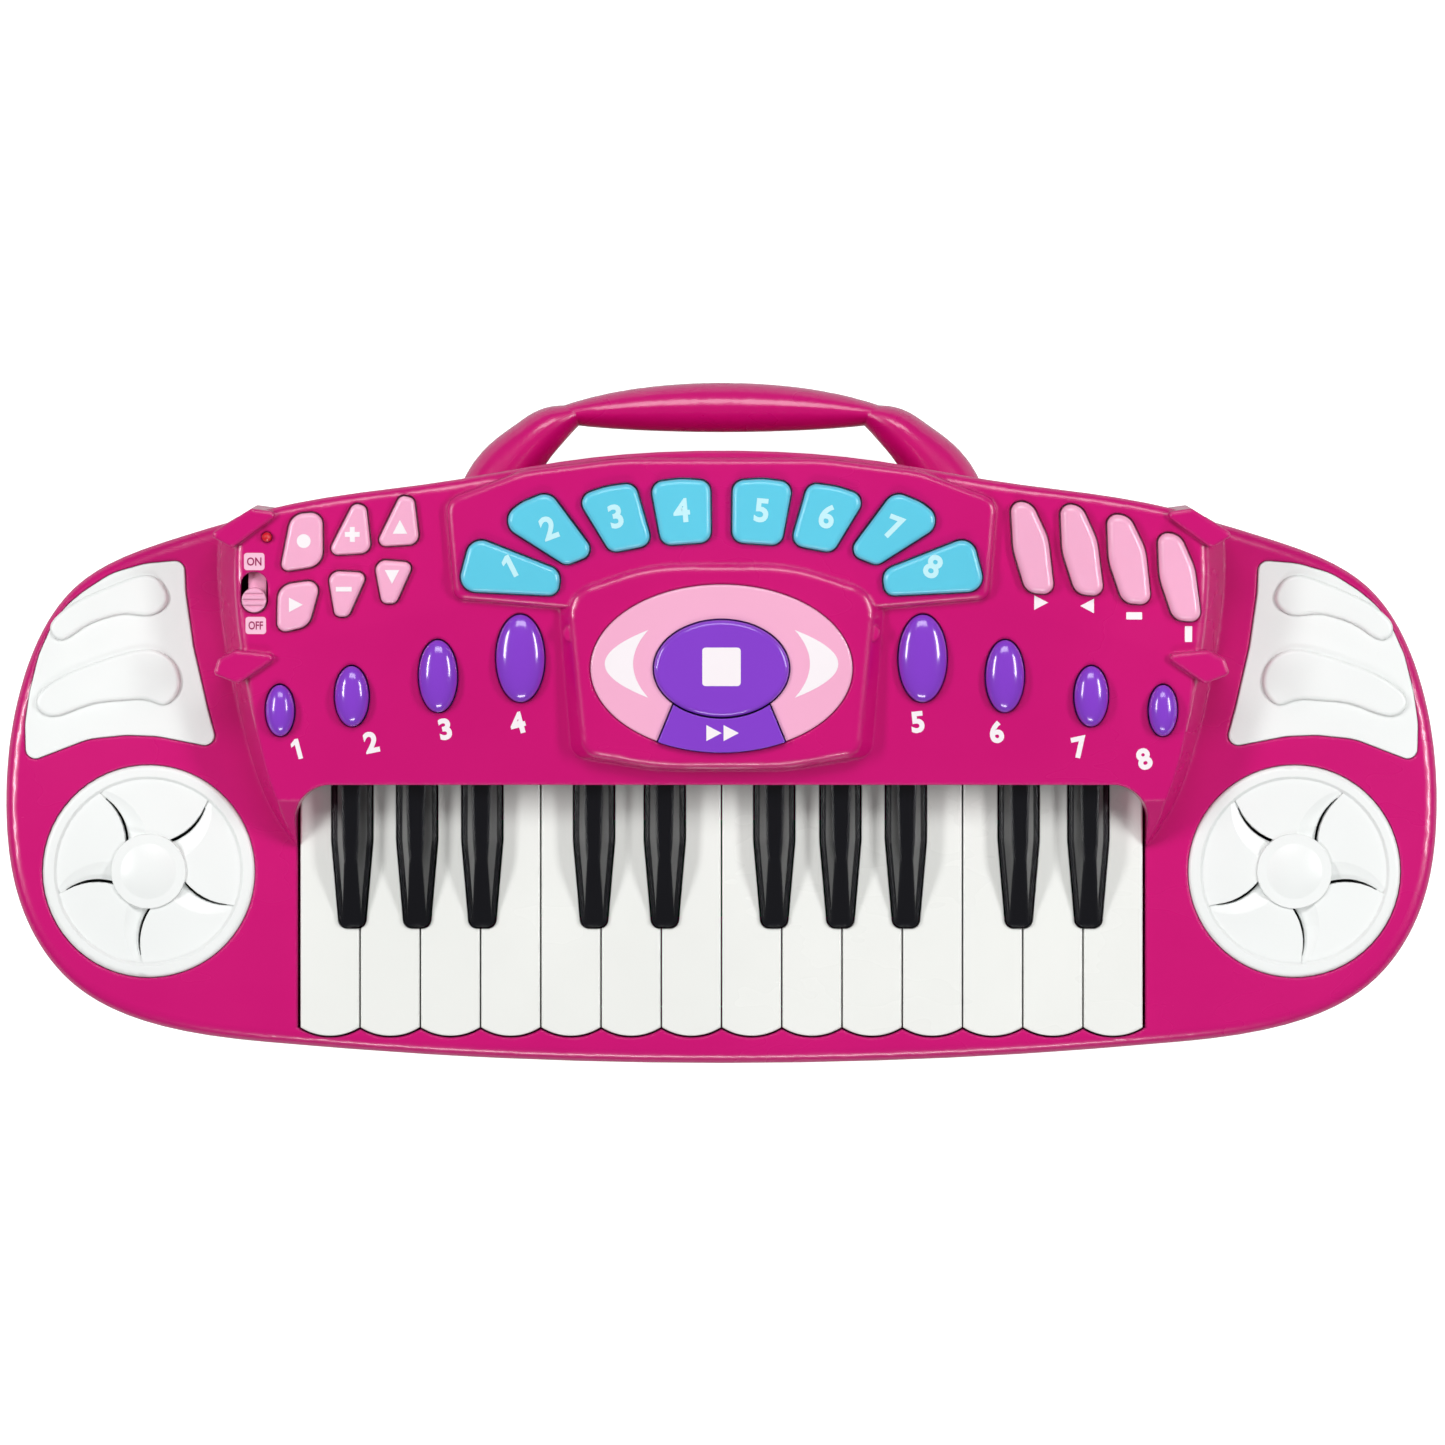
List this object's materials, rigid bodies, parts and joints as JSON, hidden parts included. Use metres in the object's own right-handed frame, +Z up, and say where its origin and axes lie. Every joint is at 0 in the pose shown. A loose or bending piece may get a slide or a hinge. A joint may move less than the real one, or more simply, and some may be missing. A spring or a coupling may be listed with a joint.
{
  "type": "toy electronic keyboard",
  "caption": "Toy electronic keyboard with a carrying handle, a raised console of push buttons behind piano keys and a round speaker grille in each rounded end.",
  "frame": {"origin": "on the table, under the middle of the whole outline, handle included", "axes": "+X along the keys towards the high notes, +Y away from the player towards the handle, +Z up"},
  "size_m": [0.4406, 0.2094, 0.0574],
  "materials": {
    "upper_shell": "glossy magenta ABS moulding",
    "lower_shell": "magenta ABS moulding, satin underneath",
    "white_inserts": "white satin moulding",
    "pale_ring": "pale pink glossy plate",
    "white_keys": "white satin-gloss key",
    "black_keys": "black high-gloss key",
    "turquoise_caps": "turquoise cap, slightly translucent",
    "purple_domes": "glossy purple cap",
    "pink_caps": "pale pink glossy cap",
    "door": "magenta textured door",
    "electronics": "green boards with black and metal parts on them",
    "screws": "zinc-plated steel"
  },
  "bodies": {
    "casing": {"upper_casing": "upper_shell", "lower_casing": "lower_shell", "side_inserts": "white_inserts", "centre_ring": "pale_ring", "battery_door": "door", "electronics": "electronics", "screws": "screws"},
    "white_key_01": {"white_key_01": "white_keys"},
    "white_key_02": {"white_key_02": "white_keys"},
    "white_key_03": {"white_key_03": "white_keys"},
    "white_key_04": {"white_key_04": "white_keys"},
    "white_key_05": {"white_key_05": "white_keys"},
    "white_key_06": {"white_key_06": "white_keys"},
    "white_key_07": {"white_key_07": "white_keys"},
    "white_key_08": {"white_key_08": "white_keys"},
    "white_key_09": {"white_key_09": "white_keys"},
    "white_key_10": {"white_key_10": "white_keys"},
    "white_key_11": {"white_key_11": "white_keys"},
    "white_key_12": {"white_key_12": "white_keys"},
    "white_key_13": {"white_key_13": "white_keys"},
    "white_key_14": {"white_key_14": "white_keys"},
    "black_key_01": {"black_key_01": "black_keys"},
    "black_key_02": {"black_key_02": "black_keys"},
    "black_key_03": {"black_key_03": "black_keys"},
    "black_key_04": {"black_key_04": "black_keys"},
    "black_key_05": {"black_key_05": "black_keys"},
    "black_key_06": {"black_key_06": "black_keys"},
    "black_key_07": {"black_key_07": "black_keys"},
    "black_key_08": {"black_key_08": "black_keys"},
    "black_key_09": {"black_key_09": "black_keys"},
    "black_key_10": {"black_key_10": "black_keys"},
    "rhythm_button_1": {"rhythm_button_1": "turquoise_caps"},
    "rhythm_button_2": {"rhythm_button_2": "turquoise_caps"},
    "rhythm_button_3": {"rhythm_button_3": "turquoise_caps"},
    "rhythm_button_4": {"rhythm_button_4": "turquoise_caps"},
    "rhythm_button_5": {"rhythm_button_5": "turquoise_caps"},
    "rhythm_button_6": {"rhythm_button_6": "turquoise_caps"},
    "rhythm_button_7": {"rhythm_button_7": "turquoise_caps"},
    "rhythm_button_8": {"rhythm_button_8": "turquoise_caps"},
    "voice_button_1": {"voice_button_1": "purple_domes"},
    "voice_button_2": {"voice_button_2": "purple_domes"},
    "voice_button_3": {"voice_button_3": "purple_domes"},
    "voice_button_4": {"voice_button_4": "purple_domes"},
    "voice_button_5": {"voice_button_5": "purple_domes"},
    "voice_button_6": {"voice_button_6": "purple_domes"},
    "voice_button_7": {"voice_button_7": "purple_domes"},
    "voice_button_8": {"voice_button_8": "purple_domes"},
    "drum_button_1": {"drum_button_1": "pink_caps"},
    "drum_button_2": {"drum_button_2": "pink_caps"},
    "drum_button_3": {"drum_button_3": "pink_caps"},
    "drum_button_4": {"drum_button_4": "pink_caps"},
    "record_button": {"record_button": "pink_caps"},
    "playback_button": {"playback_button": "pink_caps"},
    "volume_up_button": {"volume_up_button": "pink_caps"},
    "volume_down_button": {"volume_down_button": "pink_caps"},
    "tempo_up_button": {"tempo_up_button": "pink_caps"},
    "tempo_down_button": {"tempo_down_button": "pink_caps"},
    "stop_button": {"stop_button": "purple_domes"},
    "demo_button": {"demo_button": "purple_domes"},
    "power_switch_knob": {"power_switch_knob": "pink_caps"}
  },
  "joints": [
    {"name": "white_key_01_swing", "type": "hinge", "parent": "casing", "child": "white_key_01", "pos_m": [0, 0.008, 0.02], "axis": [1, 0, 0], "range_deg": [0, 2.3], "stiffness_Nm_per_rad": 0.3, "springref_deg": -8.59},
    {"name": "white_key_02_swing", "type": "hinge", "parent": "casing", "child": "white_key_02", "pos_m": [0, 0.008, 0.02], "axis": [1, 0, 0], "range_deg": [0, 2.3], "stiffness_Nm_per_rad": 0.3, "springref_deg": -8.59},
    {"name": "white_key_03_swing", "type": "hinge", "parent": "casing", "child": "white_key_03", "pos_m": [0, 0.008, 0.02], "axis": [1, 0, 0], "range_deg": [0, 2.3], "stiffness_Nm_per_rad": 0.3, "springref_deg": -8.59},
    {"name": "white_key_04_swing", "type": "hinge", "parent": "casing", "child": "white_key_04", "pos_m": [0, 0.008, 0.02], "axis": [1, 0, 0], "range_deg": [0, 2.3], "stiffness_Nm_per_rad": 0.3, "springref_deg": -8.59},
    {"name": "white_key_05_swing", "type": "hinge", "parent": "casing", "child": "white_key_05", "pos_m": [0, 0.008, 0.02], "axis": [1, 0, 0], "range_deg": [0, 2.3], "stiffness_Nm_per_rad": 0.3, "springref_deg": -8.59},
    {"name": "white_key_06_swing", "type": "hinge", "parent": "casing", "child": "white_key_06", "pos_m": [0, 0.008, 0.02], "axis": [1, 0, 0], "range_deg": [0, 2.3], "stiffness_Nm_per_rad": 0.3, "springref_deg": -8.59},
    {"name": "white_key_07_swing", "type": "hinge", "parent": "casing", "child": "white_key_07", "pos_m": [0, 0.008, 0.02], "axis": [1, 0, 0], "range_deg": [0, 2.3], "stiffness_Nm_per_rad": 0.3, "springref_deg": -8.59},
    {"name": "white_key_08_swing", "type": "hinge", "parent": "casing", "child": "white_key_08", "pos_m": [0, 0.008, 0.02], "axis": [1, 0, 0], "range_deg": [0, 2.3], "stiffness_Nm_per_rad": 0.3, "springref_deg": -8.59},
    {"name": "white_key_09_swing", "type": "hinge", "parent": "casing", "child": "white_key_09", "pos_m": [0, 0.008, 0.02], "axis": [1, 0, 0], "range_deg": [0, 2.3], "stiffness_Nm_per_rad": 0.3, "springref_deg": -8.59},
    {"name": "white_key_10_swing", "type": "hinge", "parent": "casing", "child": "white_key_10", "pos_m": [0, 0.008, 0.02], "axis": [1, 0, 0], "range_deg": [0, 2.3], "stiffness_Nm_per_rad": 0.3, "springref_deg": -8.59},
    {"name": "white_key_11_swing", "type": "hinge", "parent": "casing", "child": "white_key_11", "pos_m": [0, 0.008, 0.02], "axis": [1, 0, 0], "range_deg": [0, 2.3], "stiffness_Nm_per_rad": 0.3, "springref_deg": -8.59},
    {"name": "white_key_12_swing", "type": "hinge", "parent": "casing", "child": "white_key_12", "pos_m": [0, 0.008, 0.02], "axis": [1, 0, 0], "range_deg": [0, 2.3], "stiffness_Nm_per_rad": 0.3, "springref_deg": -8.59},
    {"name": "white_key_13_swing", "type": "hinge", "parent": "casing", "child": "white_key_13", "pos_m": [0, 0.008, 0.02], "axis": [1, 0, 0], "range_deg": [0, 2.3], "stiffness_Nm_per_rad": 0.3, "springref_deg": -8.59},
    {"name": "white_key_14_swing", "type": "hinge", "parent": "casing", "child": "white_key_14", "pos_m": [0, 0.008, 0.02], "axis": [1, 0, 0], "range_deg": [0, 2.3], "stiffness_Nm_per_rad": 0.3, "springref_deg": -8.59},
    {"name": "black_key_01_swing", "type": "hinge", "parent": "casing", "child": "black_key_01", "pos_m": [0, 0.008, 0.02], "axis": [1, 0, 0], "range_deg": [0, 2.3], "stiffness_Nm_per_rad": 0.3, "springref_deg": -8.59},
    {"name": "black_key_02_swing", "type": "hinge", "parent": "casing", "child": "black_key_02", "pos_m": [0, 0.008, 0.02], "axis": [1, 0, 0], "range_deg": [0, 2.3], "stiffness_Nm_per_rad": 0.3, "springref_deg": -8.59},
    {"name": "black_key_03_swing", "type": "hinge", "parent": "casing", "child": "black_key_03", "pos_m": [0, 0.008, 0.02], "axis": [1, 0, 0], "range_deg": [0, 2.3], "stiffness_Nm_per_rad": 0.3, "springref_deg": -8.59},
    {"name": "black_key_04_swing", "type": "hinge", "parent": "casing", "child": "black_key_04", "pos_m": [0, 0.008, 0.02], "axis": [1, 0, 0], "range_deg": [0, 2.3], "stiffness_Nm_per_rad": 0.3, "springref_deg": -8.59},
    {"name": "black_key_05_swing", "type": "hinge", "parent": "casing", "child": "black_key_05", "pos_m": [0, 0.008, 0.02], "axis": [1, 0, 0], "range_deg": [0, 2.3], "stiffness_Nm_per_rad": 0.3, "springref_deg": -8.59},
    {"name": "black_key_06_swing", "type": "hinge", "parent": "casing", "child": "black_key_06", "pos_m": [0, 0.008, 0.02], "axis": [1, 0, 0], "range_deg": [0, 2.3], "stiffness_Nm_per_rad": 0.3, "springref_deg": -8.59},
    {"name": "black_key_07_swing", "type": "hinge", "parent": "casing", "child": "black_key_07", "pos_m": [0, 0.008, 0.02], "axis": [1, 0, 0], "range_deg": [0, 2.3], "stiffness_Nm_per_rad": 0.3, "springref_deg": -8.59},
    {"name": "black_key_08_swing", "type": "hinge", "parent": "casing", "child": "black_key_08", "pos_m": [0, 0.008, 0.02], "axis": [1, 0, 0], "range_deg": [0, 2.3], "stiffness_Nm_per_rad": 0.3, "springref_deg": -8.59},
    {"name": "black_key_09_swing", "type": "hinge", "parent": "casing", "child": "black_key_09", "pos_m": [0, 0.008, 0.02], "axis": [1, 0, 0], "range_deg": [0, 2.3], "stiffness_Nm_per_rad": 0.3, "springref_deg": -8.59},
    {"name": "black_key_10_swing", "type": "hinge", "parent": "casing", "child": "black_key_10", "pos_m": [0, 0.008, 0.02], "axis": [1, 0, 0], "range_deg": [0, 2.3], "stiffness_Nm_per_rad": 0.3, "springref_deg": -8.59},
    {"name": "rhythm_button_1_press", "type": "slide", "parent": "casing", "child": "rhythm_button_1", "axis": [0, 0.0958, -0.9954], "range_m": [0, 0.0014], "stiffness_N_per_m": 400, "springref_m": -0.002},
    {"name": "rhythm_button_2_press", "type": "slide", "parent": "casing", "child": "rhythm_button_2", "axis": [0, 0.0958, -0.9954], "range_m": [0, 0.0014], "stiffness_N_per_m": 400, "springref_m": -0.002},
    {"name": "rhythm_button_3_press", "type": "slide", "parent": "casing", "child": "rhythm_button_3", "axis": [0, 0.0958, -0.9954], "range_m": [0, 0.0014], "stiffness_N_per_m": 400, "springref_m": -0.002},
    {"name": "rhythm_button_4_press", "type": "slide", "parent": "casing", "child": "rhythm_button_4", "axis": [0, 0.0958, -0.9954], "range_m": [0, 0.0014], "stiffness_N_per_m": 400, "springref_m": -0.002},
    {"name": "rhythm_button_5_press", "type": "slide", "parent": "casing", "child": "rhythm_button_5", "axis": [0, 0.0958, -0.9954], "range_m": [0, 0.0014], "stiffness_N_per_m": 400, "springref_m": -0.002},
    {"name": "rhythm_button_6_press", "type": "slide", "parent": "casing", "child": "rhythm_button_6", "axis": [0, 0.0958, -0.9954], "range_m": [0, 0.0014], "stiffness_N_per_m": 400, "springref_m": -0.002},
    {"name": "rhythm_button_7_press", "type": "slide", "parent": "casing", "child": "rhythm_button_7", "axis": [0, 0.0958, -0.9954], "range_m": [0, 0.0014], "stiffness_N_per_m": 400, "springref_m": -0.002},
    {"name": "rhythm_button_8_press", "type": "slide", "parent": "casing", "child": "rhythm_button_8", "axis": [0, 0.0958, -0.9954], "range_m": [0, 0.0014], "stiffness_N_per_m": 400, "springref_m": -0.002},
    {"name": "voice_button_1_press", "type": "slide", "parent": "casing", "child": "voice_button_1", "axis": [0, 0.0958, -0.9954], "range_m": [0, 0.0014], "stiffness_N_per_m": 400, "springref_m": -0.002},
    {"name": "voice_button_2_press", "type": "slide", "parent": "casing", "child": "voice_button_2", "axis": [0, 0.0958, -0.9954], "range_m": [0, 0.0014], "stiffness_N_per_m": 400, "springref_m": -0.002},
    {"name": "voice_button_3_press", "type": "slide", "parent": "casing", "child": "voice_button_3", "axis": [0, 0.0958, -0.9954], "range_m": [0, 0.0014], "stiffness_N_per_m": 400, "springref_m": -0.002},
    {"name": "voice_button_4_press", "type": "slide", "parent": "casing", "child": "voice_button_4", "axis": [0, 0.0958, -0.9954], "range_m": [0, 0.0014], "stiffness_N_per_m": 400, "springref_m": -0.002},
    {"name": "voice_button_5_press", "type": "slide", "parent": "casing", "child": "voice_button_5", "axis": [0, 0.0958, -0.9954], "range_m": [0, 0.0014], "stiffness_N_per_m": 400, "springref_m": -0.002},
    {"name": "voice_button_6_press", "type": "slide", "parent": "casing", "child": "voice_button_6", "axis": [0, 0.0958, -0.9954], "range_m": [0, 0.0014], "stiffness_N_per_m": 400, "springref_m": -0.002},
    {"name": "voice_button_7_press", "type": "slide", "parent": "casing", "child": "voice_button_7", "axis": [0, 0.0958, -0.9954], "range_m": [0, 0.0014], "stiffness_N_per_m": 400, "springref_m": -0.002},
    {"name": "voice_button_8_press", "type": "slide", "parent": "casing", "child": "voice_button_8", "axis": [0, 0.0958, -0.9954], "range_m": [0, 0.0014], "stiffness_N_per_m": 400, "springref_m": -0.002},
    {"name": "drum_button_1_press", "type": "slide", "parent": "casing", "child": "drum_button_1", "axis": [0, 0.0958, -0.9954], "range_m": [0, 0.0014], "stiffness_N_per_m": 400, "springref_m": -0.002},
    {"name": "drum_button_2_press", "type": "slide", "parent": "casing", "child": "drum_button_2", "axis": [0, 0.0958, -0.9954], "range_m": [0, 0.0014], "stiffness_N_per_m": 400, "springref_m": -0.002},
    {"name": "drum_button_3_press", "type": "slide", "parent": "casing", "child": "drum_button_3", "axis": [0, 0.0958, -0.9954], "range_m": [0, 0.0014], "stiffness_N_per_m": 400, "springref_m": -0.002},
    {"name": "drum_button_4_press", "type": "slide", "parent": "casing", "child": "drum_button_4", "axis": [0, 0.0958, -0.9954], "range_m": [0, 0.0014], "stiffness_N_per_m": 400, "springref_m": -0.002},
    {"name": "record_button_press", "type": "slide", "parent": "casing", "child": "record_button", "axis": [0, 0.0958, -0.9954], "range_m": [0, 0.0014], "stiffness_N_per_m": 400, "springref_m": -0.002},
    {"name": "playback_button_press", "type": "slide", "parent": "casing", "child": "playback_button", "axis": [0, 0.0958, -0.9954], "range_m": [0, 0.0014], "stiffness_N_per_m": 400, "springref_m": -0.002},
    {"name": "volume_up_button_press", "type": "slide", "parent": "casing", "child": "volume_up_button", "axis": [0, 0.0958, -0.9954], "range_m": [0, 0.0014], "stiffness_N_per_m": 400, "springref_m": -0.002},
    {"name": "volume_down_button_press", "type": "slide", "parent": "casing", "child": "volume_down_button", "axis": [0, 0.0958, -0.9954], "range_m": [0, 0.0014], "stiffness_N_per_m": 400, "springref_m": -0.002},
    {"name": "tempo_up_button_press", "type": "slide", "parent": "casing", "child": "tempo_up_button", "axis": [0, 0.0958, -0.9954], "range_m": [0, 0.0014], "stiffness_N_per_m": 400, "springref_m": -0.002},
    {"name": "tempo_down_button_press", "type": "slide", "parent": "casing", "child": "tempo_down_button", "axis": [0, 0.0958, -0.9954], "range_m": [0, 0.0014], "stiffness_N_per_m": 400, "springref_m": -0.002},
    {"name": "stop_button_press", "type": "slide", "parent": "casing", "child": "stop_button", "axis": [0, 0.0958, -0.9954], "range_m": [0, 0.0014], "stiffness_N_per_m": 400, "springref_m": -0.002},
    {"name": "demo_button_press", "type": "slide", "parent": "casing", "child": "demo_button", "axis": [0, 0.0958, -0.9954], "range_m": [0, 0.0014], "stiffness_N_per_m": 400, "springref_m": -0.002},
    {"name": "power_switch_slide", "type": "slide", "parent": "casing", "child": "power_switch_knob", "axis": [0, 0.9954, 0.0958], "range_m": [0, 0.0044]}
  ]
}
